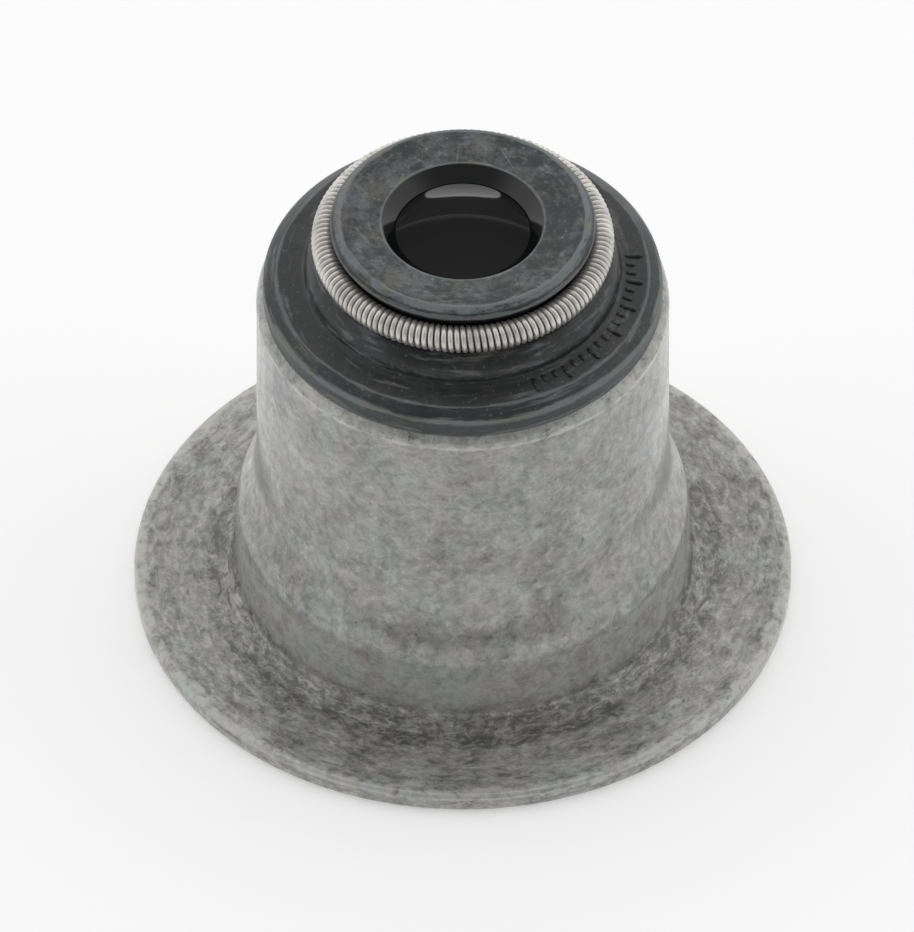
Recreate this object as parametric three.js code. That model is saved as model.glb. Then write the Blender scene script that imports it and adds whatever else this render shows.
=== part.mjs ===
import * as THREE from "three";
import { ParametricGeometry } from "three/addons/geometries/ParametricGeometry.js";

// Valve stem seal with an integral valve spring seat, in millimetres, +Z up.
// The axis of the seal is Z, and the origin lies on it at the underside of the flange.
// Every outline below is half a section, given as points (radius, height), and is turned
// round the axis.

// Steel shell
const SHEET = 1.0;               // thickness of the steel
const FLANGE_RADIUS = 15.5;      // outside of the spring seat
const FLANGE_EDGE = 0.45;        // rounding of the tumbled outer edge
const BARREL_RADIUS = 9.73;      // outside of the upper barrel
const DRAW_STEP = 0.97;          // how much wider the lower barrel is than the upper one
const ROOT_FILLET = 1.05;        // between the barrel and the top of the flange
const FLARE_FOOT = 4.85;         // height where the lower barrel starts to draw in
const FLARE_ROUND = 2.8;         // bulging bend at the foot of the draw
const FLARE_HOLLOW = 4.7;        // hollow bend at the top of the draw
const SHELL_HEIGHT = 19.14;      // underside of the flange to the top of the shell
const SHELL_CORNER = 0.6;        // outer corner of the turned-in top

// Rubber body
const BOND = 0.02;               // layer of adhesive between the rubber and the steel
const NECK_WALL = 1.25;          // rubber between the guide socket and the hole in the shell
const RIM_INSET = 0.3;           // rim's wall inside the barrel's outer face
const RIM_WALL = 0.85;           // height of the rim's wall above the shell
const BEVEL_WIDTH = 0.61;        // bevel between the shelf and the rim's wall
const BEVEL_DROP = 0.43;         // fall of that bevel
const SHELF_RISE = 0.14;         // rise of the shelf from the bevel to the collar
const COLLAR_RADIUS = 7.47;      // outside of the collar where it meets the shelf
const COLLAR_FILLET = 0.16;      // between the collar and the shelf
const HEAD_RADIUS = 6.28;        // widest part of the head
const HEAD_CHAMFER = 0.41;       // chamfer round the top face
const HEAD_BAND = 0.06;          // height of the head's side below the chamfer
const FACE_HEIGHT = 1.53;        // outer edge of the top face above the spring's centre
const FACE_DISH = 0.2;           // dish of the top face down to the bore
const LIP_RADIUS = 3.16;         // free radius of the stem lip
const MOUTH_WIDENING = 0.68;     // bore in the top face, wider than the lip by this all round
const LIP_OIL_ANGLE = 46;        // slope of the oil side of the lip, from the axis
const LIP_AIR_ANGLE = 12;        // slope of the air side just below the lip, from the axis
const BELL_ANGLE = 32;           // slope of the bell below the lip, from the axis
const BELL_BEND = 5.55;          // radius of the bend from the lip into the bell
const SOCKET_RADIUS = 5.85;      // sleeve that grips the valve guide
const SOCKET_ROUND = 0.5;        // rounding where the bell meets the sleeve
const SLEEVE_LENGTH = 10.24;     // top of the shell down to the sleeve's lower end
const SLEEVE_CHAMFER = 0.4;      // lead-in at the sleeve's lower end

// Garter spring
const SPRING_HEIGHT = 3.53;      // centre of the spring above the top of the shell
const SPRING_STANDOFF = 0.22;    // centre line of the closed ring outside the head
const COIL_RADIUS = 0.66;        // outside of the coiled wire, from the ring's centre line
const WIRE_RADIUS = 0.13;        // half of the wire's thickness
const COIL_GAP = 0.013;          // between neighbouring turns, at the inside of the ring
const SPRING_GAP = 0.06;         // clearance between the spring and its groove
const GROOVE_FOOT_ANGLE = 262;   // where the groove ends on the collar, from outwards

// Fineness of the faceted surfaces
const TURN_SEGMENTS = 44;
const BEND_STEPS = 3;
const EDGE_STEPS = 2;
const GROOVE_STEPS = 3;
const COIL_STEPS = 6;
const WIRE_SIDES = 4;

const radians = THREE.MathUtils.degToRad;

// Points of an arc about (r, z), from one angle to another in degrees, both ends included.
// Angles run from the outward direction towards +Z.
function arc(r, z, radius, from, to, steps) {
  const points = [];
  for (let i = 0; i <= steps; i += 1) {
    const angle = radians(from + ((to - from) * i) / steps);
    points.push([r + radius * Math.cos(angle), z + radius * Math.sin(angle)]);
  }
  return points;
}

// A closed outline turned round Z. The outline runs anticlockwise in (radius, height).
function turned(outline) {
  const loop = [...outline, outline[0]].map(([r, z]) => new THREE.Vector2(r, z));
  const geometry = new THREE.LatheGeometry(loop, TURN_SEGMENTS);
  geometry.rotateX(Math.PI / 2);
  return geometry;
}

// Radii and heights that follow from the sizes above
const footRadius = BARREL_RADIUS + DRAW_STEP;
const shellHole = SOCKET_RADIUS + NECK_WALL;
const rimRadius = BARREL_RADIUS - RIM_INSET;
const rimTop = SHELL_HEIGHT + RIM_WALL;
const shelfZ = rimTop + BEVEL_DROP;
const collarZ = shelfZ + SHELF_RISE;
const springRadius = HEAD_RADIUS + SPRING_STANDOFF;
const springZ = SHELL_HEIGHT + SPRING_HEIGHT;
const grooveRadius = COIL_RADIUS + SPRING_GAP;
const faceZ = springZ + FACE_HEIGHT;
const headEdgeZ = faceZ - HEAD_CHAMFER - HEAD_BAND;

// One side of the drawn wall between the two barrels, from the top down. The wall leans
// out by the same angle in both bends, and inset moves it inwards for the inner side.
function drawnWall(inset) {
  const reach = FLARE_HOLLOW + FLARE_ROUND;
  const lean = Math.acos(1 - DRAW_STEP / reach);
  const leanDegrees = THREE.MathUtils.radToDeg(lean);
  const top = FLARE_FOOT + reach * Math.sin(lean);
  const hollow = arc(BARREL_RADIUS + FLARE_HOLLOW, top, FLARE_HOLLOW + inset,
    180, 180 + leanDegrees, BEND_STEPS);
  const round = arc(footRadius - FLARE_ROUND, FLARE_FOOT, FLARE_ROUND - inset,
    leanDegrees, 0, BEND_STEPS);
  return [...hollow, ...round.slice(1)];
}

// The outer corner of the shell's top, from the side up to the top
function shellCorner() {
  return arc(BARREL_RADIUS - SHELL_CORNER, SHELL_HEIGHT - SHELL_CORNER, SHELL_CORNER,
    0, 90, EDGE_STEPS);
}

function steelShell() {
  const edge = Math.min(FLANGE_EDGE, SHEET / 2);
  const edgeR = FLANGE_RADIUS - edge;
  const rootR = footRadius + ROOT_FILLET;
  const rootZ = SHEET + ROOT_FILLET;
  return turned([
    ...arc(rootR, rootZ, ROOT_FILLET + SHEET, 180, 270, BEND_STEPS),
    ...arc(edgeR, edge, edge, 270, 360, EDGE_STEPS),
    ...arc(edgeR, SHEET - edge, edge, 0, 90, EDGE_STEPS),
    ...arc(rootR, rootZ, ROOT_FILLET, 270, 180, BEND_STEPS),
    ...drawnWall(0).reverse(),
    ...shellCorner(),
    [shellHole, SHELL_HEIGHT],
    [shellHole, SHELL_HEIGHT - SHEET],
    [BARREL_RADIUS - SHEET, SHELL_HEIGHT - SHEET],
    ...drawnWall(SHEET),
  ]);
}

// The bore, from the mouth down: the oil side of the lip, the lip, the bend into the bell,
// the bell, and the rounding into the sleeve
function boreCurve() {
  const mouthRadius = LIP_RADIUS + MOUTH_WIDENING;
  const mouthZ = faceZ - FACE_DISH;
  const lipZ = mouthZ - MOUTH_WIDENING / Math.tan(radians(LIP_OIL_ANGLE));
  const bendR = LIP_RADIUS + BELL_BEND * Math.cos(radians(LIP_AIR_ANGLE));
  const bendZ = lipZ + BELL_BEND * Math.sin(radians(LIP_AIR_ANGLE));
  const bend = arc(bendR, bendZ, BELL_BEND, 180 + LIP_AIR_ANGLE, 180 + BELL_ANGLE, EDGE_STEPS);
  const [bellR, bellZ] = bend[bend.length - 1];
  const roundR = SOCKET_RADIUS - SOCKET_ROUND;
  const meetR = roundR + SOCKET_ROUND * Math.cos(radians(BELL_ANGLE));
  const meetZ = bellZ - (meetR - bellR) / Math.tan(radians(BELL_ANGLE));
  const roundZ = meetZ - SOCKET_ROUND * Math.sin(radians(BELL_ANGLE));
  return [
    [mouthRadius, mouthZ],
    ...bend,
    ...arc(roundR, roundZ, SOCKET_ROUND, BELL_ANGLE, 0, 1),
  ];
}

// The underside of the rim, from the hole in the shell out to the rim's wall. It follows
// the corner of the shell, with the adhesive between them.
function rimSeat() {
  const seat = [[shellHole - BOND, SHELL_HEIGHT + BOND]];
  for (const [r, z] of shellCorner().reverse()) {
    const [lastR, lastZ] = seat[seat.length - 1];
    const share = Math.min(1, (rimRadius - lastR) / (r - lastR));
    seat.push([lastR + share * (r - lastR), lastZ + share * (z + BOND - lastZ)]);
    if (share < 1) break;
  }
  return seat;
}

// The outside of the collar, from the shelf up: a quarter of an ellipse that ends where
// the groove of the spring begins
function collarCurve() {
  const topR = springRadius + grooveRadius * Math.cos(radians(GROOVE_FOOT_ANGLE));
  const topZ = springZ + grooveRadius * Math.sin(radians(GROOVE_FOOT_ANGLE));
  const footZ = collarZ + COLLAR_FILLET;
  return arc(0, 0, 1, 0, 90, BEND_STEPS).map(([across, up]) => [
    topR + (COLLAR_RADIUS - topR) * across,
    footZ + (topZ - footZ) * up,
  ]);
}

// The groove of the spring, from the collar up to the head's edge. It wraps the inner side
// of the coil, then leaves it along the tangent that meets the head's edge.
function springGroove() {
  const outwards = HEAD_RADIUS - springRadius;
  const upwards = headEdgeZ - springZ;
  const toEdge = THREE.MathUtils.radToDeg(Math.atan2(upwards, outwards));
  const nearness = grooveRadius / Math.hypot(outwards, upwards);
  const tangent = toEdge + THREE.MathUtils.radToDeg(Math.acos(nearness));
  return [
    ...arc(springRadius, springZ, grooveRadius, GROOVE_FOOT_ANGLE, tangent, GROOVE_STEPS),
    [HEAD_RADIUS, headEdgeZ],
  ];
}

function rubberBody() {
  const plateUnder = SHELL_HEIGHT - SHEET - BOND;
  const sleeveRadius = BARREL_RADIUS - SHEET - BOND;
  const sleeveFoot = SHELL_HEIGHT - SLEEVE_LENGTH;
  return turned([
    ...boreCurve(),
    [SOCKET_RADIUS, sleeveFoot + SLEEVE_CHAMFER],
    [SOCKET_RADIUS + SLEEVE_CHAMFER, sleeveFoot],
    [sleeveRadius, sleeveFoot],
    [sleeveRadius, plateUnder],
    [shellHole - BOND, plateUnder],
    ...rimSeat(),
    [rimRadius, rimTop],
    [rimRadius - BEVEL_WIDTH, shelfZ],
    [COLLAR_RADIUS + COLLAR_FILLET, collarZ],
    ...collarCurve(),
    ...springGroove().slice(1),
    [HEAD_RADIUS, faceZ - HEAD_CHAMFER],
    [HEAD_RADIUS - HEAD_CHAMFER, faceZ],
  ]);
}

// A closed ring of coiled wire. The wire runs round a circle while that circle travels
// along the ring: at ring angle a, the wire's centre lies at coil angle -turns * a.
function garterSpring() {
  const wireLine = COIL_RADIUS - WIRE_RADIUS;
  const innerLength = 2 * Math.PI * (springRadius - wireLine);
  const turns = Math.floor(innerLength / (2 * WIRE_RADIUS + COIL_GAP));
  const away = new THREE.Vector3();
  const along = new THREE.Vector3();
  const across = new THREE.Vector3();
  const surface = (u, v, target) => {
    const a = v * 2 * Math.PI;
    const coil = -turns * a;
    const side = u * 2 * Math.PI;
    const reach = springRadius + wireLine * Math.cos(coil);
    away.set(Math.cos(coil) * Math.cos(a), Math.cos(coil) * Math.sin(a), Math.sin(coil));
    along.set(
      turns * wireLine * Math.sin(coil) * Math.cos(a) - reach * Math.sin(a),
      turns * wireLine * Math.sin(coil) * Math.sin(a) + reach * Math.cos(a),
      -turns * wireLine * Math.cos(coil),
    ).normalize();
    across.crossVectors(along, away);
    target.set(reach * Math.cos(a), reach * Math.sin(a), springZ + wireLine * Math.sin(coil));
    target.addScaledVector(away, WIRE_RADIUS * Math.cos(side));
    target.addScaledVector(across, WIRE_RADIUS * Math.sin(side));
  };
  return new ParametricGeometry(surface, WIRE_SIDES, turns * COIL_STEPS);
}

const steel = new THREE.MeshStandardMaterial({ color: 0x8d8c88, roughness: 0.5, metalness: 0.8 });
const rubber = new THREE.MeshStandardMaterial({ color: 0x2b2d30, roughness: 0.45, metalness: 0 });
const wire = new THREE.MeshStandardMaterial({ color: 0xbdb6ab, roughness: 0.3, metalness: 0.9 });

function piece(name, geometry, material) {
  const mesh = new THREE.Mesh(geometry, material);
  mesh.name = name;
  return mesh;
}

const group = new THREE.Group();
group.add(
  piece("steel_shell", steelShell(), steel),
  piece("rubber_body", rubberBody(), rubber),
  piece("garter_spring", garterSpring(), wire),
);

export default group;
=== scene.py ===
"""Dressed model of a valve stem seal that is one piece with its spring seat.

A drawn steel shell with a wide flange carries a moulded rubber body, and a ring of coiled
wire lies in a groove round the head of the rubber. Lengths are in metres, +Z is up, and
the axis of the seal is Z.
"""

import math

import bpy
import numpy as np
from bpy.props import FloatProperty, FloatVectorProperty, IntProperty, PointerProperty
from bpy.types import Operator, Panel, PropertyGroup
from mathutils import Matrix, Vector


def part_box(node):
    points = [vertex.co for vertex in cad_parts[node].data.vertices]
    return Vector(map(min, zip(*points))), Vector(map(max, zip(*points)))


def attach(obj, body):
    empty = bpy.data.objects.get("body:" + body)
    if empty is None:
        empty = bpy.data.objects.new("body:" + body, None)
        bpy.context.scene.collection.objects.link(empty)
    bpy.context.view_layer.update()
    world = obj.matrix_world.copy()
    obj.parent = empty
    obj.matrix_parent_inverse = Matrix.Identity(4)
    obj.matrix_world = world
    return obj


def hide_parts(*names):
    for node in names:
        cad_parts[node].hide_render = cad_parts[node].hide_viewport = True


bl_info = {
    "name": "Valve Stem Seal",
    "version": (1, 0, 0),
    "blender": (4, 5, 0),
    "location": "View3D > Sidebar > Seal",
    "description": "Makes a valve stem seal with a steel shell, a rubber body and a garter spring",
    "category": "Add Mesh",
}

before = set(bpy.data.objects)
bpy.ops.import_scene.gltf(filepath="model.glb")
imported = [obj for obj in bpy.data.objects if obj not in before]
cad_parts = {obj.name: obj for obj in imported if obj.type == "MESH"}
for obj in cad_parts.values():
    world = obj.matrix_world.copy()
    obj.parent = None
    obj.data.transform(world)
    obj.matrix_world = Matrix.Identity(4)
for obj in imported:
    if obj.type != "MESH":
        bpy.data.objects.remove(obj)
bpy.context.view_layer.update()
SHELL_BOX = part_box("steel_shell")
RUBBER_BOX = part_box("rubber_body")
SPRING_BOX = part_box("garter_spring")

BODY = "root"
MM = 0.001
WHITE = (1.0, 1.0, 1.0, 1.0)

# The photograph's frame
IMAGE_HEIGHT = 932           # pixels
PIXELS_PER_MM = 21.2

# Fineness of the surfaces
FINE_STEP = 0.01 * MM        # outlines are first sampled this closely
LONGEST_STEP = 0.42 * MM     # then a straight run has a point at least this often
SHARPEST_TURN = 11.0         # and a bend has one for each turn of this many degrees
ARC_TURN = 4.0               # an arc is drawn with one point for this many degrees
TICK_ROWS = 9                # points of a tick from its top to its foot
TICK_COLUMNS = 20            # and round it


# Sizes and colours

def length(name, description, millimetres):
    """A size that is shown in the scene's unit of length."""
    return FloatProperty(name=name, description=description, default=millimetres * MM,
                         min=0.0, precision=5, unit="LENGTH", subtype="DISTANCE")


def from_frame(name, description, metres):
    """A size whose default is read from the fixed frame."""
    return length(name, description, metres / MM)


def slope(name, description, degrees):
    """An angle, kept in radians and shown in degrees."""
    return FloatProperty(name=name, description=description, default=math.radians(degrees),
                         unit="ROTATION", subtype="ANGLE")


def share(name, description, default):
    """A share from 0 to 1."""
    return FloatProperty(name=name, description=description, default=default,
                         min=0.0, max=1.0, subtype="FACTOR")


def colour(name, description, red, green, blue):
    """A colour in linear light."""
    return FloatVectorProperty(name=name, description=description, size=3, min=0.0, max=1.0,
                               default=(red, green, blue), subtype="COLOR")


class ShellSettings(PropertyGroup):
    """Sizes and colours of the drawn steel shell."""
    sheet: length("Sheet", "Thickness of the steel", 1.0)
    flange_radius: from_frame("Flange radius", "Outside of the spring seat", SHELL_BOX[1].x)
    flange_edge: length("Flange edge", "Rounding of the tumbled outer edge", 0.28)
    barrel_radius: length("Barrel radius", "Outside of the upper barrel", 9.73)
    draw_step: length("Draw step", "How much wider the lower barrel is", 0.97)
    root_fillet: length("Root fillet", "Between the barrel and the flange", 1.05)
    flare_foot: length("Flare foot", "Height where the barrel starts to draw in", 4.85)
    flare_round: length("Flare round", "Bulging bend at the foot of the draw", 2.8)
    flare_hollow: length("Flare hollow", "Hollow bend at the top of the draw", 4.7)
    height: from_frame("Height", "Underside of the flange to the top", SHELL_BOX[1].z)
    corner: length("Corner", "Outer corner of the turned-in top", 0.6)
    crease: length("Crease", "Height of the ridge that the die left below the corner", 0.03)
    softness: length("Softness", "Easing of the other edges", 0.04)
    dark: colour("Dark steel", "Steel where it is dullest", 0.12, 0.12, 0.117)
    light: colour("Light steel", "Steel where it is rubbed", 0.52, 0.52, 0.515)
    worn: colour("Worn steel", "Bare steel on the worn edges", 0.6, 0.6, 0.59)
    cool: colour("Cool tint", "Greenish patches, as a filter", 0.96, 1.0, 0.985)
    warm: colour("Warm tint", "Brownish patches, as a filter", 1.0, 0.975, 0.935)
    segments: IntProperty(name="Segments", description="Faces round the axis", default=264,
                          min=12, max=400)


class RubberSettings(PropertyGroup):
    """Sizes and colours of the moulded rubber body."""
    bond: length("Bond", "Adhesive between the rubber and the steel", 0.02)
    neck_wall: length("Neck wall", "Rubber between the socket and the shell's hole", 1.25)
    rim_radius: from_frame("Rim radius", "Outside of the rim on the shell", RUBBER_BOX[1].x)
    rim_wall: length("Rim wall", "Height of the rim's wall above the shell", 0.85)
    bevel_width: length("Bevel width", "Bevel between the shelf and the rim's wall", 0.61)
    bevel_drop: length("Bevel drop", "Fall of that bevel", 0.43)
    shelf_rise: length("Shelf rise", "Rise of the shelf to the collar", 0.14)
    collar_radius: length("Collar radius", "Collar where it meets the shelf", 7.47)
    collar_fillet: length("Collar fillet", "Between the collar and the shelf", 0.16)
    head_radius: length("Head radius", "Widest part of the head", 6.28)
    head_chamfer: length("Head chamfer", "Chamfer round the top face", 0.41)
    head_band: length("Head band", "Height of the head's side below the chamfer", 0.06)
    face_height: from_frame("Face height", "Outer edge of the top face", RUBBER_BOX[1].z)
    face_dish: length("Face dish", "Dish of the top face down to the bore", 0.2)
    lip_radius: length("Lip radius", "Free radius of the stem lip", 3.16)
    mouth_widening: length("Mouth widening", "Bore in the top face beyond the lip", 0.68)
    oil_slope: slope("Oil side", "Slope of the lip's oil side, from the axis", 46)
    air_slope: slope("Air side", "Slope just below the lip, from the axis", 12)
    bell_slope: slope("Bell", "Slope of the bell, from the axis", 32)
    bell_bend: length("Bell bend", "Radius of the bend into the bell", 5.55)
    socket_radius: length("Socket radius", "Sleeve that grips the valve guide", 5.85)
    socket_round: length("Socket rounding", "Where the bell meets the sleeve", 0.5)
    sleeve_foot: from_frame("Sleeve foot", "Height of the sleeve's end", RUBBER_BOX[0].z)
    sleeve_chamfer: length("Sleeve chamfer", "Lead-in at the sleeve's end", 0.4)
    softness: length("Softness", "Easing of the moulded edges", 0.05)
    clean: colour("Clean rubber", "Oily rubber of the bore", 0.006, 0.0065, 0.007)
    # Painted shade: a darker copy of the rubber, used inside the rim below the top face, where the
    # shelf and collar lie in the shade of the head and spring
    shaded_black: colour("Black rubber", "Rubber of the shelf and the collar", 0.0095, 0.0105, 0.0115)
    bloom: colour("Dull rubber", "Rubber of the top face and the rim", 0.019, 0.0215, 0.0235)
    dust: colour("Dust", "Pale dust rubbed into the rubber", 0.19, 0.205, 0.215)
    oily_dust: colour("Oily dust", "Olive patches of that dust", 0.195, 0.2, 0.18)
    segments: IntProperty(name="Segments", description="Faces round the axis", default=288,
                          min=12, max=400)


class MarkSettings(PropertyGroup):
    """Sizes of the plain raised ticks on the shelf."""
    count: IntProperty(name="Ticks", description="How many ticks the row has", default=19,
                       min=1, max=60)
    start: slope("Start", "Azimuth of the first tick", 8)
    end: slope("End", "Azimuth of the last tick", -65)
    radius: length("Radius", "Middle of the ticks from the axis", 8.12)
    reach: length("Reach", "Length of a long tick", 0.86)
    short: share("Short", "Length of the other ticks, as a share of that", 0.6)
    long_every: IntProperty(name="Long every", description="One tick in this many is long",
                            default=3, min=1, max=20)
    width: length("Width", "Width of a tick", 0.25)
    rise: length("Rise", "Height of a tick above the shelf", 0.12)


class SpringSettings(PropertyGroup):
    """Sizes and colour of the garter spring."""
    height: from_frame("Height", "Centre of the ring", (SPRING_BOX[0].z + SPRING_BOX[1].z) / 2)
    outside: from_frame("Outside", "Outside of the closed ring", SPRING_BOX[1].x)
    coil_radius: length("Coil radius", "Outside of the coil from its centre line", 0.66)
    wire_radius: length("Wire radius", "Half of the wire's thickness", 0.13)
    coil_gap: length("Coil gap", "Between turns at the inside of the ring", 0.013)
    groove_gap: length("Groove gap", "Clearance to the groove", 0.06)
    groove_foot: slope("Groove at foot", "Where the groove ends on the collar", 262)
    wire: colour("Wire", "Drawn spring wire", 0.79, 0.77, 0.735)
    coil_steps: IntProperty(name="Steps", description="Steps in one turn", default=18,
                            min=6, max=40)
    wire_sides: IntProperty(name="Sides", description="Faces round the wire", default=10,
                            min=4, max=20)


class StageSettings(PropertyGroup):
    """Camera, floor and light."""
    elevation: slope("Elevation", "Camera above the horizon", 45.5)
    view_height: length("View height", "Height that the image shows",
                        IMAGE_HEIGHT / PIXELS_PER_MM)
    aim_x: FloatProperty(name="Aim X", description="Middle of the image, along X",
                         default=-0.274 * MM, unit="LENGTH")
    aim_z: length("Aim Z", "Middle of the image on the axis", 7.524)
    distance: length("Distance", "Camera from the seal", 300)
    floor_size: length("Floor size", "Side of the floor", 1600)
    floor_gap: length("Floor gap", "Floor below the flange", 0.02)
    floor: share("Floor whiteness", "Light that the floor gives back", 0.88)
    sky: share("Sky", "Strength of the white surroundings", 1.0)
    dim: share("Dim side", "Strength of the surroundings behind the camera", 0.3)
    dim_inner: slope("Dim core", "The surroundings are dimmest this close to the camera", 20)
    dim_outer: slope("Dim edge", "They are white beyond this angle from the camera", 66)
    fill: share("Fill", "White that the floor lacks where it is fully lit", 0.33)


# Outlines: half sections as points (radius, height), anticlockwise

def arc(r, z, radius, start, end):
    """Arc about (r, z): centre plus radius times (cos, sin) of angles spaced evenly from
    start to end, in radians, from outwards towards +Z."""
    steps = max(2, math.ceil(abs(end - start) / math.radians(ARC_TURN)))
    angle = np.linspace(start, end, steps + 1)
    return np.column_stack([r + radius * np.cos(angle), z + radius * np.sin(angle)])


def drawn_wall(s, inset):
    """One side of the wall between the two barrels, from the top down: two arcs that lean
    out by the same angle, whose cosine is 1 - step / (sum of their radii)."""
    reach = s.flare_hollow + s.flare_round
    lean = math.acos(1 - s.draw_step / reach)
    top = s.flare_foot + reach * math.sin(lean)
    foot_radius = s.barrel_radius + s.draw_step
    hollow = arc(s.barrel_radius + s.flare_hollow, top, s.flare_hollow + inset,
                 math.pi, math.pi + lean)
    bulge = arc(foot_radius - s.flare_round, s.flare_foot, s.flare_round - inset, lean, 0)
    return np.vstack([hollow, bulge])


def shell_corner(s):
    """Quarter circle of the shell's top, from the side up to the top."""
    return arc(s.barrel_radius - s.corner, s.height - s.corner, s.corner, 0, math.pi / 2)


def shell_outline(s, hole):
    """Outline of the drawn cup: flange with rounded edges, root fillet, drawn wall, ridge,
    corner and turned-in top, then back down inside one sheet's thickness away."""
    quarter = math.pi / 2
    edge = min(s.flange_edge, s.sheet / 2)
    edge_r = s.flange_radius - edge
    root_r = s.barrel_radius + s.draw_step + s.root_fillet
    root_z = s.sheet + s.root_fillet
    crease_z = s.height - s.corner
    return np.vstack([
        arc(root_r, root_z, s.root_fillet + s.sheet, math.pi, 3 * quarter),
        arc(edge_r, edge, edge, 3 * quarter, 4 * quarter),
        arc(edge_r, s.sheet - edge, edge, 0, quarter),
        arc(root_r, root_z, s.root_fillet, 3 * quarter, math.pi),
        drawn_wall(s, 0)[::-1],
        [[s.barrel_radius, crease_z - 3 * s.crease],
         [s.barrel_radius + s.crease, crease_z - s.crease],
         [s.barrel_radius + s.crease, crease_z]],
        shell_corner(s)[1:],
        [[hole, s.height],
         [hole, s.height - s.sheet],
         [s.barrel_radius - s.sheet, s.height - s.sheet]],
        drawn_wall(s, s.sheet),
    ])


def bore_outline(s):
    """Bore from the mouth down: cone of the oil side, lip, arc that bends from the air
    side's slope to the bell's, straight bell, rounding into the sleeve."""
    mouth_r = s.lip_radius + s.mouth_widening
    mouth_z = s.face_height - s.face_dish
    lip_z = mouth_z - s.mouth_widening / math.tan(s.oil_slope)
    bend_r = s.lip_radius + s.bell_bend * math.cos(s.air_slope)
    bend_z = lip_z + s.bell_bend * math.sin(s.air_slope)
    bend = arc(bend_r, bend_z, s.bell_bend, math.pi + s.air_slope, math.pi + s.bell_slope)
    bell_r, bell_z = bend[-1]
    round_r = s.socket_radius - s.socket_round
    meet_r = round_r + s.socket_round * math.cos(s.bell_slope)
    meet_z = bell_z - (meet_r - bell_r) / math.tan(s.bell_slope)
    round_z = meet_z - s.socket_round * math.sin(s.bell_slope)
    return np.vstack([
        [[mouth_r, mouth_z]],
        bend,
        arc(round_r, round_z, s.socket_round, s.bell_slope, 0),
    ])


def rim_seat(s, shell, hole):
    """Underside of the rim: along the shell's top and down its corner to the rim's wall,
    one layer of adhesive above the steel."""
    corner = shell_corner(shell)[::-1] + [0, s.bond]
    reached = corner[:, 0] < s.rim_radius
    end_z = np.interp(s.rim_radius, corner[:, 0], corner[:, 1])
    return np.vstack([[[hole, shell.height + s.bond]], corner[reached], [[s.rim_radius, end_z]]])


def spring_groove(s, spring):
    """Groove from the collar up to the head's edge: it wraps the inner side of the coil,
    then leaves it along the tangent that meets the edge."""
    centre = np.array([spring.outside - spring.coil_radius, spring.height])
    radius = spring.coil_radius + spring.groove_gap
    edge = np.array([s.head_radius, s.face_height - s.head_chamfer - s.head_band])
    across, up = edge - centre
    tangent = math.atan2(up, across) + math.acos(radius / math.hypot(across, up))
    return np.vstack([arc(*centre, radius, spring.groove_foot, tangent), edge])


def rubber_outline(s, shell, spring, hole):
    """Outline of the moulding: bore, sleeve, seat on the shell, rim, bevel, shelf, collar
    as a quarter of an ellipse, groove of the spring, head and top face."""
    under = shell.height - shell.sheet - s.bond
    sleeve_r = shell.barrel_radius - shell.sheet - s.bond
    rim_top = shell.height + s.rim_wall
    shelf_z = rim_top + s.bevel_drop
    collar_z = shelf_z + s.shelf_rise
    groove = spring_groove(s, spring)
    top_r, top_z = groove[0]
    foot_z = collar_z + s.collar_fillet
    quarter = arc(0, 0, 1, 0, math.pi / 2)
    collar = [top_r, foot_z] + quarter * [s.collar_radius - top_r, top_z - foot_z]
    return np.vstack([
        bore_outline(s),
        [[s.socket_radius, s.sleeve_foot + s.sleeve_chamfer],
         [s.socket_radius + s.sleeve_chamfer, s.sleeve_foot],
         [sleeve_r, s.sleeve_foot],
         [sleeve_r, under],
         [hole - s.bond, under]],
        rim_seat(s, shell, hole - s.bond),
        [[s.rim_radius, rim_top],
         [s.rim_radius - s.bevel_width, shelf_z],
         [s.collar_radius + s.collar_fillet, collar_z]],
        collar,
        groove[1:],
        [[s.head_radius, s.face_height - s.head_chamfer],
         [s.head_radius - s.head_chamfer, s.face_height]],
    ])


def eased(outline, softness):
    """The closed outline with its corners eased, and how sharply it bulges at each point.

    It is sampled evenly and blurred along its length by a bell curve as wide as softness.
    It is then sampled again at even steps of length / longest step + turn / sharpest turn.
    The bulge is the turn to the left over a length of softness, in radians."""
    loop = np.vstack([outline, outline[:1]])
    run = np.concatenate([[0], np.cumsum(np.hypot(*np.diff(loop, axis=0).T))])
    count = int(run[-1] / FINE_STEP)
    even = np.linspace(0, run[-1], count, endpoint=False)
    points = np.column_stack([np.interp(even, run, loop[:, 0]), np.interp(even, run, loop[:, 1])])
    wave = 2 * np.pi * np.fft.rfftfreq(count, run[-1] / count)
    blur = np.exp(-(wave * softness) ** 2 / 2)[:, None]
    points = np.fft.irfft(np.fft.rfft(points, axis=0) * blur, count, axis=0)

    step = np.roll(points, -1, axis=0) - points
    heading = np.arctan2(step[:, 1], step[:, 0])
    turn = (heading - np.roll(heading, 1) + np.pi) % (2 * np.pi) - np.pi
    stride = np.hypot(*step.T)
    need = stride / LONGEST_STEP + np.abs(turn) / math.radians(SHARPEST_TURN)
    total = np.concatenate([[0], np.cumsum(need)])
    marks = np.arange(math.ceil(total[-1])) * total[-1] / math.ceil(total[-1])
    place = np.interp(marks, total, np.arange(count + 1))
    around = np.vstack([points, points[:1]])
    bulge = np.append(turn / stride * softness, turn[0] / stride[0] * softness)
    sampled = [np.interp(place, np.arange(count + 1), column) for column in (*around.T, bulge)]
    return np.column_stack(sampled[:2]), sampled[2]


# Meshes

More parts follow.
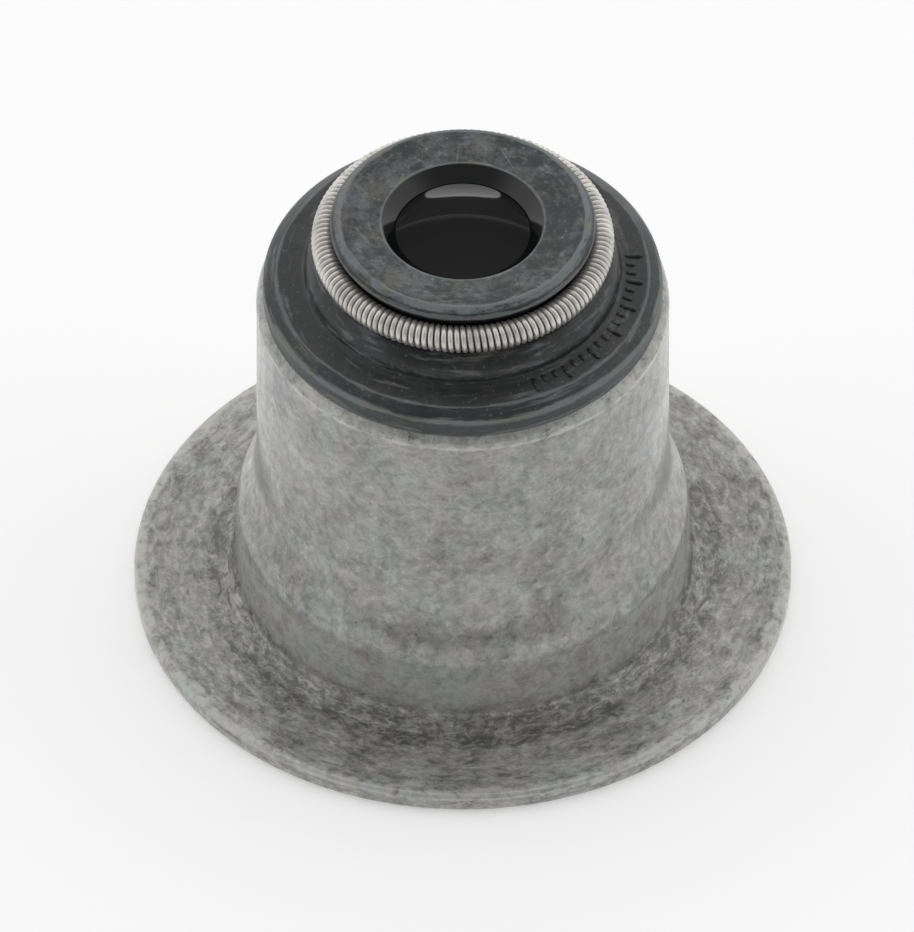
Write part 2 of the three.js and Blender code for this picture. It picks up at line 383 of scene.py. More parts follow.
def new_piece(name, points, parts, material, slot):
    """A smooth mesh object at the origin that rides on the seal's body. Its faces come as a
    list of arrays, each for one number of corners."""
    faces = [face for part in parts for face in part.tolist()]
    mesh = bpy.data.meshes.new(name)
    mesh.from_pydata(points.tolist(), [], faces)
    mesh.shade_smooth()
    mesh.materials.append(material)
    piece = bpy.data.objects.new(name, mesh)
    bpy.context.scene.collection.objects.link(piece)
    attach(piece, BODY)
    return piece


def ring_faces(rows, columns):
    """Quads of a grid that closes on itself both ways: (i, j), (i, j+1), (i+1, j+1),
    (i+1, j), with indices that wrap."""
    index = np.arange(rows * columns).reshape(rows, columns)
    right, down = np.roll(index, -1, axis=1), np.roll(index, -1, axis=0)
    return np.stack([index, right, np.roll(down, -1, axis=1), down], axis=-1).reshape(-1, 4)


def turned(outline, segments):
    """Outline turned round Z: (r cos a, r sin a, z) for azimuths a spaced evenly."""
    azimuth = np.linspace(0, 2 * np.pi, segments, endpoint=False)
    r, z = outline[:, :1], outline[:, 1:]
    points = np.stack([r * np.cos(azimuth), r * np.sin(azimuth), z + 0 * azimuth], axis=-1)
    return points.reshape(-1, 3), [ring_faces(len(outline), segments)]


def turned_piece(name, outline, softness, segments, material, slot):
    """A turned piece with its edges eased, whose point attribute edge is how sharply the
    outline bulges there."""
    smooth, bulge = eased(outline, softness)
    piece = new_piece(name, *turned(smooth, segments), material, slot)
    edge = piece.data.attributes.new("edge", "FLOAT", "POINT")
    edge.data.foreach_set("value", np.repeat(np.clip(bulge, 0, 1), segments).astype(np.float32))
    return piece


def coiled_ring(s):
    """Wire coiled into a closed ring. At azimuth a the wire's centre lies at coil angle
    c = -turns a on a circle round the ring's line, so it is ((R + q cos c) cos a,
    (R + q cos c) sin a, h + q sin c). Round it goes a circle of the wire's radius, across
    the direction in which the wire runs."""
    line = s.coil_radius - s.wire_radius
    ring = s.outside - s.coil_radius
    pitch = 2 * s.wire_radius + s.coil_gap
    turns = math.floor(2 * math.pi * (ring - line) / pitch)
    steps = turns * s.coil_steps
    a = np.linspace(0, 2 * np.pi, steps, endpoint=False)[:, None]
    c = -turns * a
    zero = 0 * a
    outward = np.hstack([np.cos(a), np.sin(a), zero])
    onward = np.hstack([-np.sin(a), np.cos(a), zero])
    upward = np.hstack([zero, zero, 1 + zero])
    reach = ring + line * np.cos(c)
    centre = reach * outward + (s.height + line * np.sin(c)) * upward
    away = np.cos(c) * outward + np.sin(c) * upward
    along = turns * line * (np.sin(c) * outward - np.cos(c) * upward) + reach * onward
    along /= np.linalg.norm(along, axis=1, keepdims=True)
    across = np.cross(along, away)
    side = np.linspace(0, 2 * np.pi, s.wire_sides, endpoint=False)[None, :, None]
    around = away[:, None] * np.cos(side) + across[:, None] * np.sin(side)
    points = centre[:, None] + s.wire_radius * around
    return points.reshape(-1, 3), [ring_faces(steps, s.wire_sides)]


def pillow(rows, columns):
    """Points and faces of a pillow that reaches 1 from its middle along each axis: a ball
    whose outline in plan is a rounded square, |x|^4 + |y|^4 = 1."""
    polar = np.linspace(0, np.pi, rows)[1:-1, None]
    around = np.linspace(0, 2 * np.pi, columns, endpoint=False)[None, :]
    cos, sin = np.cos(around), np.sin(around)
    square = (cos ** 4 + sin ** 4) ** -0.25
    flat = np.sin(polar) ** 0.5
    side = np.stack([flat * square * cos, flat * square * sin, np.cos(polar) + 0 * cos], axis=-1)
    points = np.vstack([[[0, 0, 1]], side.reshape(-1, 3), [[0, 0, -1]]])

    grid = 1 + np.arange((rows - 2) * columns).reshape(rows - 2, columns)
    right = np.roll(grid, -1, axis=1)
    quads = np.stack([grid[:-1], grid[1:], right[1:], right[:-1]], axis=-1).reshape(-1, 4)
    top = np.stack([0 * grid[0], grid[0], right[0]], axis=-1)
    bottom = np.stack([0 * grid[0] + len(points) - 1, right[-1], grid[-1]], axis=-1)
    return points, [quads, top, bottom]


def ticks(s, seat_z):
    """A row of plain raised ticks, each a pillow stretched to its size. The long and the
    short ones start equally far from the axis."""
    one, parts = pillow(TICK_ROWS, TICK_COLUMNS)
    x, y, z = one.T
    number = np.arange(s.count)[:, None]
    size = np.where(number % s.long_every == 0, 1.0, s.short)
    azimuth = np.linspace(s.start, s.end, s.count)[:, None]
    radial = s.radius + s.reach / 2 * (size * x + size - 1)
    sideways = s.width / 2 * y
    points = np.stack([
        radial * np.cos(azimuth) - sideways * np.sin(azimuth),
        radial * np.sin(azimuth) + sideways * np.cos(azimuth),
        seat_z + s.rise * z + 0 * azimuth,
    ], axis=-1)
    shift = number[:, None] * len(one)
    return points.reshape(-1, 3), [(part + shift).reshape(-1, part.shape[1]) for part in parts]


# Shader nodes

class Nodes:
    """Adds nodes to one tree. Wherever a value is wanted, a socket may stand for it."""

    def __init__(self, tree):
        self.tree = tree

    def add(self, kind, sources=None, **settings):
        node = self.tree.nodes.new(kind)
        for name, value in settings.items():
            setattr(node, name, value)
        return self.feed(node, sources or {})

    def feed(self, node, sources):
        """Sets the inputs of a node, or links sockets to them."""
        for name, source in sources.items():
            if isinstance(source, bpy.types.NodeSocket):
                self.tree.links.new(source, node.inputs[name])
            else:
                node.inputs[name].default_value = source
        return node

    def math(self, operation, *sources):
        node = self.add("ShaderNodeMath", dict(enumerate(sources)), operation=operation)
        return node.outputs[0]

    def vector(self, operation, *sources, output="Vector"):
        node = self.add("ShaderNodeVectorMath", dict(enumerate(sources)), operation=operation)
        return node.outputs[output]

    def scaled(self, vector, factor):
        node = self.add("ShaderNodeVectorMath", {"Vector": vector, "Scale": factor},
                        operation="SCALE")
        return node.outputs["Vector"]

    def between(self, value, low, high, out_low=0.0, out_high=1.0):
        """Smooth step of value from low to high."""
        sources = {"Value": value, "From Min": low, "From Max": high,
                   "To Min": out_low, "To Max": out_high}
        node = self.add("ShaderNodeMapRange", sources, interpolation_type="SMOOTHSTEP")
        return node.outputs["Result"]

    def noise(self, vector, scale, detail=2.0, roughness=0.5, curl=0.0):
        sources = {"Vector": vector, "Scale": scale, "Detail": detail, "Roughness": roughness,
                   "Distortion": curl}
        return self.add("ShaderNodeTexNoise", sources).outputs["Fac"]

    def mix(self, factor, first, second, blend="MIX"):
        """Colour between first and second."""
        sources = {0: factor, 6: first, 7: second}
        return self.add("ShaderNodeMix", sources, data_type="RGBA", blend_type=blend).outputs[2]

    def total(self, *values):
        result = values[0]
        for value in values[1:]:
            result = self.math("ADD", result, value)
        return result

    def product(self, *values):
        result = values[0]
        for value in values[1:]:
            result = self.math("MULTIPLY", result, value)
        return result

    def group(self, tree, **sources):
        """The output of a node group whose inputs are given by name."""
        return self.add("ShaderNodeGroup", sources, node_tree=tree).outputs[0]

    def bump(self, grain, strength):
        """The normal of a surface that a pattern roughens a little."""
        node = self.add("ShaderNodeBump",
                        {"Height": grain, "Strength": strength, "Distance": 0.02 * MM})
        return node.outputs["Normal"]

    def moved(self, place, *offset):
        """The place moved by an offset, where a pattern looks different."""
        return self.vector("ADD", place, offset)


def new_group(name, inputs, output):
    """An empty shader node group with float inputs, but for Vector, and one float output."""
    tree = bpy.data.node_groups.new(name, "ShaderNodeTree")
    for label, default in inputs.items():
        kind = "NodeSocketVector" if label == "Vector" else "NodeSocketFloat"
        socket = tree.interface.new_socket(label, in_out="INPUT", socket_type=kind)
        if kind == "NodeSocketFloat":
            socket.default_value = default
    tree.interface.new_socket(output, in_out="OUTPUT", socket_type="NodeSocketFloat")
    nodes = Nodes(tree)
    return nodes, nodes.add("NodeGroupInput").outputs, nodes.add("NodeGroupOutput").inputs[output]


def mottling_group():
    """A felt of curly strokes: noise in five octaves whose place is pushed about by Curl."""
    n, given, out = new_group(
        "seal_mottling", {"Vector": None, "Size": MM, "Contrast": 1.0, "Curl": 1.5}, "Value")
    scale = n.math("DIVIDE", 1.0, given["Size"])
    value = n.noise(given["Vector"], scale, detail=4.0, roughness=0.68, curl=given["Curl"])
    n.tree.links.new(n.product(n.math("SUBTRACT", value, 0.5), given["Contrast"]), out)
    return n.tree


def squiggles_group():
    """Short curly strokes: the lines where a noise passes its middle value, broken up by a
    finer noise. Width is the reach of the noise to either side, and Share the part kept."""
    n, given, out = new_group(
        "seal_squiggles", {"Vector": None, "Size": MM, "Width": 0.03, "Share": 0.4}, "Mask")
    scale = n.math("DIVIDE", 1.0, given["Size"])
    value = n.noise(given["Vector"], scale, detail=3.0, roughness=0.6)
    away = n.math("ABSOLUTE", n.math("SUBTRACT", value, 0.5))
    line = n.between(away, given["Width"], 0.0)
    elsewhere = n.moved(given["Vector"], 0.031, 0.047, 0.013)
    breaks = n.noise(elsewhere, n.math("MULTIPLY", scale, 1.7), detail=3.0, roughness=0.6)
    level = n.math("ADD", breaks, n.math("MULTIPLY", given["Share"], 0.25))
    n.tree.links.new(n.product(line, n.between(level, 0.58, 0.68)), out)
    return n.tree


def specks_group():
    """Round specks in some of the cells that space is cut into. Share is the part of the
    cells that has one, and each is as wide as its own random share of half a cell."""
    n, given, out = new_group("seal_specks", {"Vector": None, "Spacing": MM, "Share": 0.3},
                              "Mask")
    place = n.scaled(given["Vector"], n.math("DIVIDE", 1.0, given["Spacing"]))
    cells = n.add("ShaderNodeTexVoronoi", {"Vector": place, "Scale": 1.0}, feature="F1")
    chance = n.add("ShaderNodeTexWhiteNoise", {"Vector": cells.outputs["Position"]})
    picked = n.between(chance.outputs["Value"], given["Share"], n.product(given["Share"], 0.4))
    reach = n.math("MULTIPLY", picked, 0.42)
    n.tree.links.new(n.between(cells.outputs["Distance"], reach, n.product(reach, 0.3)), out)
    return n.tree


def scratches_group():
    """Short marks in all directions. Space is cut into cells, each with a plane through its
    middle at a random tilt, and a mark is where the surface is close to that plane. It
    fades away from the middle, and some cells have none."""
    n, given, out = new_group(
        "seal_scratches", {"Vector": None, "Spacing": MM, "Width": 0.05 * MM, "Share": 0.5}, "Mask")
    place = n.scaled(given["Vector"], n.math("DIVIDE", 1.0, given["Spacing"]))
    cells = n.add("ShaderNodeTexVoronoi", {"Vector": place, "Scale": 1.0}, feature="F1")
    offset = n.vector("SUBTRACT", place, cells.outputs["Position"])
    tilt = n.vector("NORMALIZE", n.vector("SUBTRACT", cells.outputs["Color"], (0.5, 0.5, 0.5)))
    away = n.math("ABSOLUTE", n.vector("DOT_PRODUCT", offset, tilt, output="Value"))
    away = n.math("MULTIPLY", away, given["Spacing"])
    line = n.between(away, given["Width"], 0.0)
    reach = n.between(n.vector("LENGTH", offset, output="Value"), 0.62, 0.2)
    chance = n.add("ShaderNodeTexWhiteNoise", {"Vector": cells.outputs["Position"]})
    kept = n.math("LESS_THAN", chance.outputs["Value"], given["Share"])
    n.tree.links.new(n.product(line, reach, kept), out)
    return n.tree


def edge_wear_group():
    """Rubbed edges: where the outline bulges, with a ragged limit set by noise."""
    n, given, out = new_group("seal_edge_wear", {"Vector": None, "Edge": 0.0, "Raggedness": 0.3},
                              "Mask")
    ragged = n.math("SUBTRACT", n.noise(given["Vector"], 2200.0, 4.0, 0.6), 0.5)
    level = n.math("ADD", given["Edge"], n.math("MULTIPLY", ragged, given["Raggedness"]))
    n.tree.links.new(n.between(level, 0.03, 0.16), out)
    return n.tree


def dust_group():
    """Dust rubbed into the surface: broad smudges broken up by finer and finer ones, from
    none to Amount of full dust."""
    n, given, out = new_group("seal_dust", {"Vector": None, "Amount": 0.3}, "Mask")
    broad = n.noise(given["Vector"], 380.0, 3.0, 0.7)
    fine = n.noise(given["Vector"], 1900.0, 4.0, 0.8)
    level = n.between(n.total(broad, n.product(fine, 0.9)), 0.8, 1.22)
    n.tree.links.new(n.product(level, given["Amount"]), out)
    return n.tree


def group_named(name, make):
    """The node group of that name, made the first time it is wanted."""
    return bpy.data.node_groups.get(name) or make()


def new_material(name):
    """A material with its node helper, Principled shader and Object coordinates."""
    material = bpy.data.materials.new(name)
    material.use_nodes = True
    nodes = Nodes(material.node_tree)
    shader = material.node_tree.nodes["Principled BSDF"]
    place = nodes.add("ShaderNodeTexCoord").outputs["Object"]
    return material, nodes, shader, place


def swept_place(n, place, stretch):
    """Radius and height of a point, and a place for patterns that are drawn out along the
    azimuth: (x / r, y / r) times stretch, then r - z, so it has no seam."""
    flat = n.vector("MULTIPLY", place, (1.0, 1.0, 0.0))
    radius = n.vector("LENGTH", flat, output="Value")
    height = n.add("ShaderNodeSeparateXYZ", {"Vector": place}).outputs["Z"]
    along = n.add("ShaderNodeCombineXYZ", {"Z": n.math("SUBTRACT", radius, height)}).outputs[0]
    swept = n.vector("ADD", n.scaled(n.vector("NORMALIZE", flat), stretch), along)
    return radius, height, swept


def edge_attribute(n):
    """How sharply the outline bulges, as turned_piece notes it."""
    return n.add("ShaderNodeAttribute", attribute_name="edge").outputs["Fac"]


def steel_zones(n, s, radius, height):
    """How far a point belongs to each zone of the shell, from 0 to 1: the flange, its root,
    where shade is painted, the barrel's shoulder and foot at and below the draw, where shade
    and light are painted, and the top under the rubber."""
    foot_radius = s.barrel_radius + s.draw_step
    flange = n.between(height, s.sheet + 1.4 * MM, s.sheet + 0.3 * MM)
    barrel = n.math("SUBTRACT", 1.0, flange)
    near_foot = n.between(radius, foot_radius + 2.2 * MM, foot_radius + 0.9 * MM)
    near_flange = n.between(height, s.sheet + 1.6 * MM, s.sheet + 0.5 * MM)
    below_draw = n.between(height, s.flare_foot + 3.75 * MM, s.flare_foot + 1.35 * MM)
    below_bend = n.between(height, s.flare_foot + 0.55 * MM, s.flare_foot - 0.55 * MM)
    return {
        "flange": flange,
        "root": n.product(near_foot, near_flange),
        "shoulder": n.product(below_draw, barrel),
        "foot": n.product(below_bend, barrel),
        "top": n.between(height, s.height - 0.8 * MM, s.height - 0.6 * MM),
    }


def steel_tone(n, place, swept, zones):
    """Lightness of the mottled steel from 0, dark, to 1, light, with its felt and its relief.
    On the flange the strokes are drawn out along the azimuth."""
    mottling = group_named("seal_mottling", mottling_group)
    squiggles = group_named("seal_squiggles", squiggles_group)
    scratches = group_named("seal_scratches", scratches_group)
    specks = group_named("seal_specks", specks_group)
    flange, root, top = zones["flange"], zones["root"], zones["top"]

    patches = n.group(mottling, Vector=place, Size=2.6 * MM, Contrast=1.1, Curl=0.6)
    felt = n.group(mottling, Vector=place, Size=0.55 * MM, Contrast=1.45, Curl=0.5)
    drawn = n.group(mottling, Vector=swept, Size=0.42 * MM, Contrast=1.9, Curl=0.7)
    light_curls = n.group(squiggles, Vector=place, Size=1.1 * MM, Width=0.045, Share=0.35)
    dark_curls = n.group(squiggles, Vector=n.moved(place, 0.05, 0.02, 0.07), Size=1.0 * MM,
                         Width=0.035, Share=0.3)
    light_strokes = n.group(squiggles, Vector=swept, Size=0.65 * MM, Width=0.06, Share=0.5)
    dark_strokes = n.group(squiggles, Vector=n.moved(swept, 0.01, 0.03, 0.02), Size=0.7 * MM,
                           Width=0.045, Share=0.4)
    scuffs = n.group(scratches, Vector=place, Spacing=0.9 * MM, Width=0.06 * MM, Share=0.5)
    long_scuffs = n.group(scratches, Vector=place, Spacing=3.1 * MM, Width=0.045 * MM, Share=0.4)
    bright_specks = n.group(specks, Vector=place, Spacing=0.26 * MM, Share=0.3)
    dark_specks = n.group(specks, Vector=n.moved(place, 0.04, 0.01, 0.02), Spacing=0.22 * MM,
                          Share=0.25)
    # The pits are specks that the felt pulls out of place
    pulled = n.vector("ADD", place, n.scaled(place, felt))
    pits = n.group(specks, Vector=pulled, Spacing=0.34 * MM, Share=0.6)
    pitted = n.product(top, n.math("MAXIMUM", pits, n.product(dark_curls, 0.8)))

    tone = n.total(
        0.535,
        patches,
        n.product(felt, n.between(flange, 0.0, 1.0, 1.0, 0.5)),
        n.product(drawn, n.total(n.between(flange, 0.0, 1.0, 0.2, 1.05), n.product(root, 0.3))),
        n.product(bright_specks, 0.22),
        n.product(dark_specks, -0.2),
        n.product(light_curls, 0.2),
        n.product(dark_curls, -0.12),
        n.product(light_strokes, flange, 0.24),
        n.product(dark_strokes, flange, -0.16),
        n.product(scuffs, 0.12),
        n.product(long_scuffs, 0.14),
        n.product(pitted, -0.4),
        n.product(top, 0.11),
        # Painted shade: the root fillet between the barrel and the flange is darkened
        n.product(root, -0.3),
        # Painted shade: the drawn wall and the barrel below it are darkened against the bulge's
        # highlight
        n.product(zones["shoulder"], -0.07),
        # Painted light: the barrel below the bulge is lightened where the dark flange's reflection
        # shades it
        n.product(zones["foot"], 0.36),
        n.product(flange, -0.02),
    )
    relief = n.total(
        n.product(felt, 0.6),
        n.product(scuffs, -0.3),
        n.product(long_scuffs, -0.4),
        n.product(dark_curls, -0.3),
        n.product(pitted, -0.8),
    )
    return tone, felt, relief


def bare_steel_and_rim_highlight(n, s, place, swept, radius, height, felt):
    """Where the steel is rubbed bare: a little on every edge, a ragged line along the
    flange's rim, which is also a painted highlight on its top edge, and a broken one along
    the ridge below the rubber."""
    wear = group_named("seal_edge_wear", edge_wear_group)
    rubbed = n.group(wear, Vector=place, Edge=edge_attribute(n), Raggedness=0.35)
    ragged = n.math("SUBTRACT", n.noise(place, 700.0, 4.0, 0.7), 0.5)
    wavy = n.math("ADD", radius, n.product(ragged, 1.2 * MM))
    # The rim line is partly wear and partly a painted highlight on the flange's top edge
    rim = n.product(n.between(wavy, s.flange_radius - 0.6 * MM, s.flange_radius - 0.35 * MM),
                    n.between(height, s.sheet - 0.34 * MM, s.sheet - 0.16 * MM))
    away = n.math("ABSOLUTE", n.math("SUBTRACT", height, s.height - s.corner - s.crease))
    ridge = n.total(n.product(away, 1 / MM), n.product(n.noise(swept, 1100.0, 4.0, 0.7), 0.9))
    bare = n.math("MAXIMUM", n.product(rubbed, 0.25), n.product(rim, 0.8))
    bare = n.product(bare, n.between(felt, -0.2, 0.1, 0.3, 1.0))
    return n.math("MAXIMUM", bare, n.between(ridge, 0.58, 0.42, 0.0, 0.8))


def steel_material(s):
    """Matt tumbled steel: mottled and scuffed all over, tinted in patches, darkened at the
    root with painted shade, with painted shade on the draw and painted light below it, pitted
    below the rubber and rubbed bright on the edges, with a painted highlight along the flange's
    rim."""
    material, n, shader, place = new_material("tumbled_steel")
    radius, height, swept = swept_place(n, place, 6.0 * MM)
    zones = steel_zones(n, s, radius, height)
    tone, felt, relief = steel_tone(n, place, swept, zones)
    bare = bare_steel_and_rim_highlight(n, s, place, swept, radius, height, felt)
    steel = n.mix(tone, (*s.dark, 1.0), (*s.light, 1.0))
    steel = n.mix(bare, steel, (*s.worn, 1.0))
    hue = n.total(n.noise(place, 520.0, 3.0, 0.8), n.product(zones["flange"], 0.05))
    tint = n.mix(n.between(hue, 0.36, 0.64), (*s.cool, 1.0), (*s.warm, 1.0))
    n.feed(shader, {
        "Base Color": n.mix(1.0, steel, tint, blend="MULTIPLY"),
        "Roughness": n.between(tone, 0.1, 1.0, 0.27, 0.18),
        "Metallic": 0.2,
        "Specular IOR Level": 0.85,
        "Normal": n.bump(relief, 0.3),
    })
    return material


def rubber_zones(n, s, radius, height):
    """How far a point belongs to each zone of the rubber, from 0 to 1: the top face, all that
    lies outside the bore, the shelf with the collar and the groove, and the sleeve's inside."""
    mouth = s.lip_radius + s.mouth_widening
    shelf_edge = s.rim_radius - s.bevel_width
    face = n.product(n.between(height, s.face_height - 0.27 * MM, s.face_height - 0.22 * MM),
                     n.between(radius, mouth - 0.04 * MM, mouth + 0.03 * MM))
    beyond_bore = n.between(radius, s.socket_radius + 0.05 * MM, s.head_radius - 0.1 * MM)
    outside = n.math("MAXIMUM", face, beyond_bore)
    within_rim = n.between(radius, shelf_edge + 0.05 * MM, shelf_edge - 0.25 * MM)
    beyond_bell = n.between(radius, s.socket_radius - 0.3 * MM, s.socket_radius - 0.1 * MM)
    return {
        "face": face,
        "outside": outside,
        "shelf": n.product(within_rim, n.math("SUBTRACT", 1.0, face)),
        "socket": n.product(beyond_bell, n.math("SUBTRACT", 1.0, outside)),
    }


def dust_and_highlight_lines(n, s, swept, radius, height, rim_top):
    """Broken pale lines along the head's chamfer and along the rim's upper edge: painted highlights
    on those edges, mixed with dust.
    """
    chamfer_radius = s.head_radius - s.head_chamfer
    below = n.math("SUBTRACT", s.face_height, height)
    head_edge = n.product(n.between(radius, chamfer_radius - 0.16 * MM, chamfer_radius),
                          n.between(below, 0.34 * MM, 0.1 * MM))
    rim_edge = n.product(n.between(radius, s.rim_radius - 0.22 * MM, s.rim_radius - 0.06 * MM),
                         n.between(height, rim_top - 0.3 * MM, rim_top - 0.05 * MM))
    breaks = n.between(n.noise(swept, 1500.0, 4.0, 0.75), 0.4, 0.56)
    return n.product(n.math("MAXIMUM", head_edge, rim_edge), breaks)


def rubber_dust_and_highlights(n, place, swept, zones, lines):
    """How dusty the rubber is, from 0 to 1: smudges, specks and scuffs, most of all on the
    top face, streaks round the rim, and the pale lines and rubbed edges, which are dust and
    painted highlights. The bore has none."""
    dust = group_named("seal_dust", dust_group)
    specks = group_named("seal_specks", specks_group)
    squiggles = group_named("seal_squiggles", squiggles_group)
    scratches = group_named("seal_scratches", scratches_group)
    wear = group_named("seal_edge_wear", edge_wear_group)
    face = zones["face"]
    smudges = n.group(dust, Vector=place, Amount=n.between(face, 0.0, 1.0, 0.1, 0.7))
    fine_specks = n.group(specks, Vector=place, Spacing=0.24 * MM, Share=0.35)
    curls = n.group(squiggles, Vector=place, Size=0.9 * MM, Width=0.03, Share=0.2)
    streaks = n.group(squiggles, Vector=swept, Size=0.5 * MM, Width=0.03, Share=0.35)
    scuffs = n.group(scratches, Vector=place, Spacing=1.7 * MM, Width=0.05 * MM, Share=0.5)
    # The rubbed edges are dust and painted highlights along the convex moulded edges
    rubbed = n.group(wear, Vector=swept, Edge=edge_attribute(n), Raggedness=0.7)
    level = n.total(
        smudges,
        n.product(lines, 0.85),
        n.product(fine_specks, n.between(smudges, 0.0, 0.3, 0.3, 0.6)),
        n.product(curls, n.between(face, 0.0, 1.0, 0.1, 0.3)),
        n.product(scuffs, n.between(face, 0.0, 1.0, 0.15, 0.5)),
        n.product(streaks, n.between(zones["shelf"], 0.0, 1.0, 0.2, 0.0)),
        n.product(rubbed, 0.6),
    )
    return n.product(n.math("MINIMUM", level, 1.0), zones["outside"])


def rubber_material(s, rim_top):
    """Black rubber: clean and glossy in the bore, dull outside, darker inside the rim with
    painted shade, with dust on the top face, specks all over and pale lines along the moulded
    edges that are dust and painted highlights. The rim's wall ends at the height rim_top."""
    material, n, shader, place = new_material("satin_rubber")
    radius, height, swept = swept_place(n, place, 1.6 * MM)
    zones = rubber_zones(n, s, radius, height)
    lines = dust_and_highlight_lines(n, s, swept, radius, height, rim_top)
    level = rubber_dust_and_highlights(n, place, swept, zones, lines)
    # Painted shade: inside the rim the rubber takes the darker shaded copy
    rubber = n.mix(zones["shelf"], (*s.bloom, 1.0), (*s.shaded_black, 1.0))
    rubber = n.mix(zones["outside"], (*s.clean, 1.0), rubber)
    olive = n.between(n.noise(place, 620.0, 3.0, 0.7), 0.45, 0.6)
    dusty = n.mix(olive, (*s.dust, 1.0), (*s.oily_dust, 1.0))
    dull = n.total(n.product(zones["outside"], 0.28), n.product(zones["socket"], 0.5))
    pores = n.product(n.noise(place, 5200.0, 3.0, 0.6), zones["outside"])
    n.feed(shader, {
        "Base Color": n.mix(level, rubber, dusty),
        "Roughness": n.total(0.08, dull, n.product(level, 0.3)),
        "Normal": n.bump(n.total(pores, n.product(level, 0.6)), 0.2),
    })
    return material


def wire_material(s):
    """Bright drawn wire with a little tarnish."""
    material, n, shader, place = new_material("spring_wire")
    tarnish = n.noise(place, 900.0, 4.0, 0.6)
    dull = tuple(0.72 * part for part in s.wire)
    n.feed(shader, {
        "Base Color": n.mix(n.between(tarnish, 0.35, 0.7), (*s.wire, 1.0), (*dull, 1.0)),
        "Roughness": n.between(tarnish, 0.3, 0.7, 0.34, 0.48),
        "Metallic": 0.75,
    })
    return material


# Operators

class SEAL_OT_shell(Operator):
    """Make the drawn steel shell"""
    bl_idname = "seal.shell"
    bl_label = "Steel Shell"

    def execute(self, context):
        s, rubber = context.scene.seal_shell, context.scene.seal_rubber
        hole = rubber.socket_radius + rubber.neck_wall
        piece = turned_piece("shell_of_steel", shell_outline(s, hole), s.softness, s.segments,
                             steel_material(s), "steel")
        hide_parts("steel_shell")
        return {"FINISHED"}


class SEAL_OT_rubber(Operator):
    """Make the moulded rubber body"""
    bl_idname = "seal.rubber"
    bl_label = "Rubber Body"

    def execute(self, context):
        scene = context.scene
        s = scene.seal_rubber
        hole = s.socket_radius + s.neck_wall
        outline = rubber_outline(s, scene.seal_shell, scene.seal_spring, hole)
        piece = turned_piece("body_of_rubber", outline, s.softness, s.segments,
                             rubber_material(s, scene.seal_shell.height + s.rim_wall), "rubber")
        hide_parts("rubber_body")
        return {"FINISHED"}


class SEAL_OT_ticks(Operator):
    """Make the plain raised ticks on the rubber shelf, of the rubber body's material"""
    bl_idname = "seal.ticks"
    bl_label = "Moulded Ticks"

    def execute(self, context):
        scene = context.scene
        s, rubber, shell = scene.seal_marks, scene.seal_rubber, scene.seal_shell
        shelf_z = shell.height + rubber.rim_wall + rubber.bevel_drop + rubber.shelf_rise / 2
        new_piece("moulded_ticks", *ticks(s, shelf_z), bpy.data.materials["satin_rubber"],
                  "rubber")
        return {"FINISHED"}


class SEAL_OT_spring(Operator):
    """Make the garter spring"""
    bl_idname = "seal.spring"
    bl_label = "Garter Spring"

    def execute(self, context):
        s = context.scene.seal_spring
        piece = new_piece("ring_of_coiled_wire", *coiled_ring(s), wire_material(s),
                          "spring_wire")
        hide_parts("garter_spring")
        return {"FINISHED"}


class SEAL_OT_stage(Operator):
    """Make the floor, the light and the camera"""
    bl_idname = "seal.stage"
    bl_label = "Stage"

    def execute(self, context):
        s = context.scene.seal_stage
        make_floor(s)
        make_sky(s)
        make_camera(s)
        context.scene.view_settings.view_transform = "Standard"
        return {"FINISHED"}


def make_floor(s):
    """A pale floor that takes the seal's shadow. The camera sees it made up to white, mirrored
    rays see plain white, and from below it can't be seen. It lies a hair below the flange,
    so that the flange's underside isn't in its plane."""
    half = s.floor_size / 2
    corners = np.array([[-half, -half], [half, -half], [half, half], [-half, half]])
    corners = np.column_stack([corners, [-s.floor_gap] * 4])
    mesh = bpy.data.meshes.new("floor")
    mesh.from_pydata(corners.tolist(), [], [[0, 1, 2, 3]])
    material = bpy.data.materials.new("pale_floor")
    material.use_nodes = True
    n = Nodes(material.node_tree)
    path = n.add("ShaderNodeLightPath").outputs
    shader = n.feed(material.node_tree.nodes["Principled BSDF"], {
        "Base Color": (s.floor, s.floor, s.floor, 1.0),
        "Roughness": 0.9,
        "Specular IOR Level": 0.0,
        "Emission Color": WHITE,
        "Emission Strength": n.product(path["Is Camera Ray"], s.fill),
    })
    white = n.add("ShaderNodeEmission").outputs[0]
    mirrored = n.math("MAXIMUM", path["Is Glossy Ray"], path["Is Transmission Ray"])
    lit = n.add("ShaderNodeMixShader", {0: mirrored, 1: shader.outputs[0], 2: white}).outputs[0]
    clear = n.add("ShaderNodeBsdfTransparent").outputs[0]
    below = n.add("ShaderNodeNewGeometry").outputs["Backfacing"]
    seen = n.add("ShaderNodeMixShader", {0: below, 1: lit, 2: clear})
    n.feed(material.node_tree.nodes["Material Output"], {"Surface": seen.outputs[0]})
    mesh.materials.append(material)
    floor = bpy.data.objects.new("floor", mesh)
    bpy.context.scene.collection.objects.link(floor)


def towards_camera(s):
    """Direction from the seal to the camera."""
    return Vector((0.0, -math.cos(s.elevation), math.sin(s.elevation)))


def make_sky(s):
    """White surroundings, dimmer round the direction of the camera. The camera itself sees
    them white."""
    world = bpy.data.worlds.new("white_surroundings")
    world.use_nodes = True
    n = Nodes(world.node_tree)
    path = n.add("ShaderNodeLightPath").outputs
    direction = n.add("ShaderNodeTexCoord").outputs["Generated"]
    nearness = n.vector("DOT_PRODUCT", direction, tuple(towards_camera(s)), output="Value")
    light = n.between(nearness, math.cos(s.dim_outer), math.cos(s.dim_inner), s.sky, s.dim)
    seen = n.math("MAXIMUM", path["Is Camera Ray"], path["Is Transmission Ray"])
    n.feed(world.node_tree.nodes["Background"],
           {"Color": WHITE, "Strength": n.math("MAXIMUM", light, seen)})
    bpy.context.scene.world = world


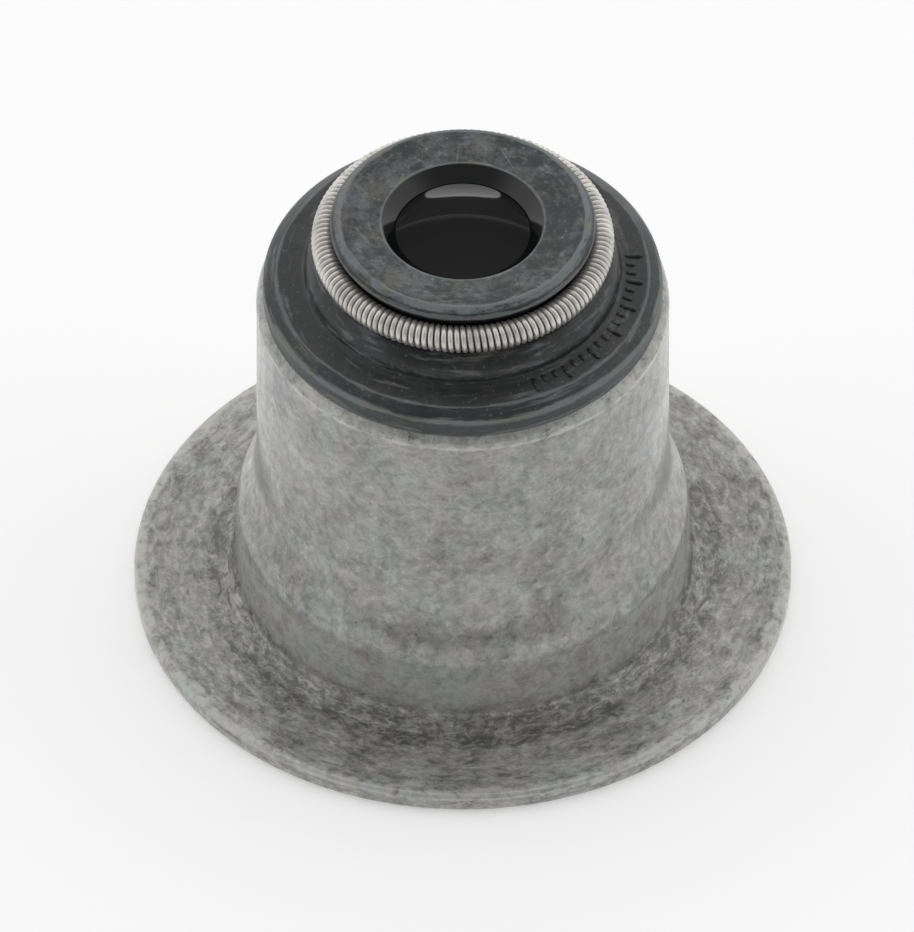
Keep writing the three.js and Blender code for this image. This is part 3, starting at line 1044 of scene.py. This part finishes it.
def make_camera(s):
    """A camera without perspective, at the photograph's angle."""
    camera = bpy.data.cameras.new("camera")
    camera.type = "ORTHO"
    camera.ortho_scale = s.view_height
    camera.clip_end = 10.0
    holder = bpy.data.objects.new("camera", camera)
    back = towards_camera(s)
    holder.location = Vector((s.aim_x, 0.0, s.aim_z)) + back * s.distance
    holder.rotation_mode = "QUATERNION"
    holder.rotation_quaternion = (-back).to_track_quat("-Z", "Y")
    bpy.context.scene.collection.objects.link(holder)
    bpy.context.scene.camera = holder


class SEAL_PT_panel(Panel):
    """Buttons and sizes of the valve stem seal"""
    bl_idname = "SEAL_PT_panel"
    bl_label = "Valve Stem Seal"
    bl_space_type = "VIEW_3D"
    bl_region_type = "UI"
    bl_category = "Seal"

    def draw(self, context):
        for operator, settings in STEPS:
            box = self.layout.box()
            box.operator(operator.bl_idname)
            group = getattr(context.scene, settings)
            for name in group.bl_rna.properties.keys():
                if name not in {"rna_type", "name"}:
                    box.prop(group, name)


SETTINGS = {
    "seal_shell": ShellSettings,
    "seal_rubber": RubberSettings,
    "seal_marks": MarkSettings,
    "seal_spring": SpringSettings,
    "seal_stage": StageSettings,
}
STEPS = (
    (SEAL_OT_shell, "seal_shell"),
    (SEAL_OT_rubber, "seal_rubber"),
    (SEAL_OT_ticks, "seal_marks"),
    (SEAL_OT_spring, "seal_spring"),
    (SEAL_OT_stage, "seal_stage"),
)
CLASSES = (*SETTINGS.values(), *(operator for operator, _ in STEPS), SEAL_PT_panel)


def register():
    for cls in CLASSES:
        bpy.utils.register_class(cls)
    for name, cls in SETTINGS.items():
        setattr(bpy.types.Scene, name, PointerProperty(type=cls))


def unregister():
    for name in SETTINGS:
        delattr(bpy.types.Scene, name)
    for cls in reversed(CLASSES):
        bpy.utils.unregister_class(cls)


def main():
    """Makes the seal and its stage."""
    register()
    bpy.ops.seal.shell()
    bpy.ops.seal.rubber()
    bpy.ops.seal.ticks()
    bpy.ops.seal.spring()
    bpy.ops.seal.stage()


if __name__ == "__main__":
    main()
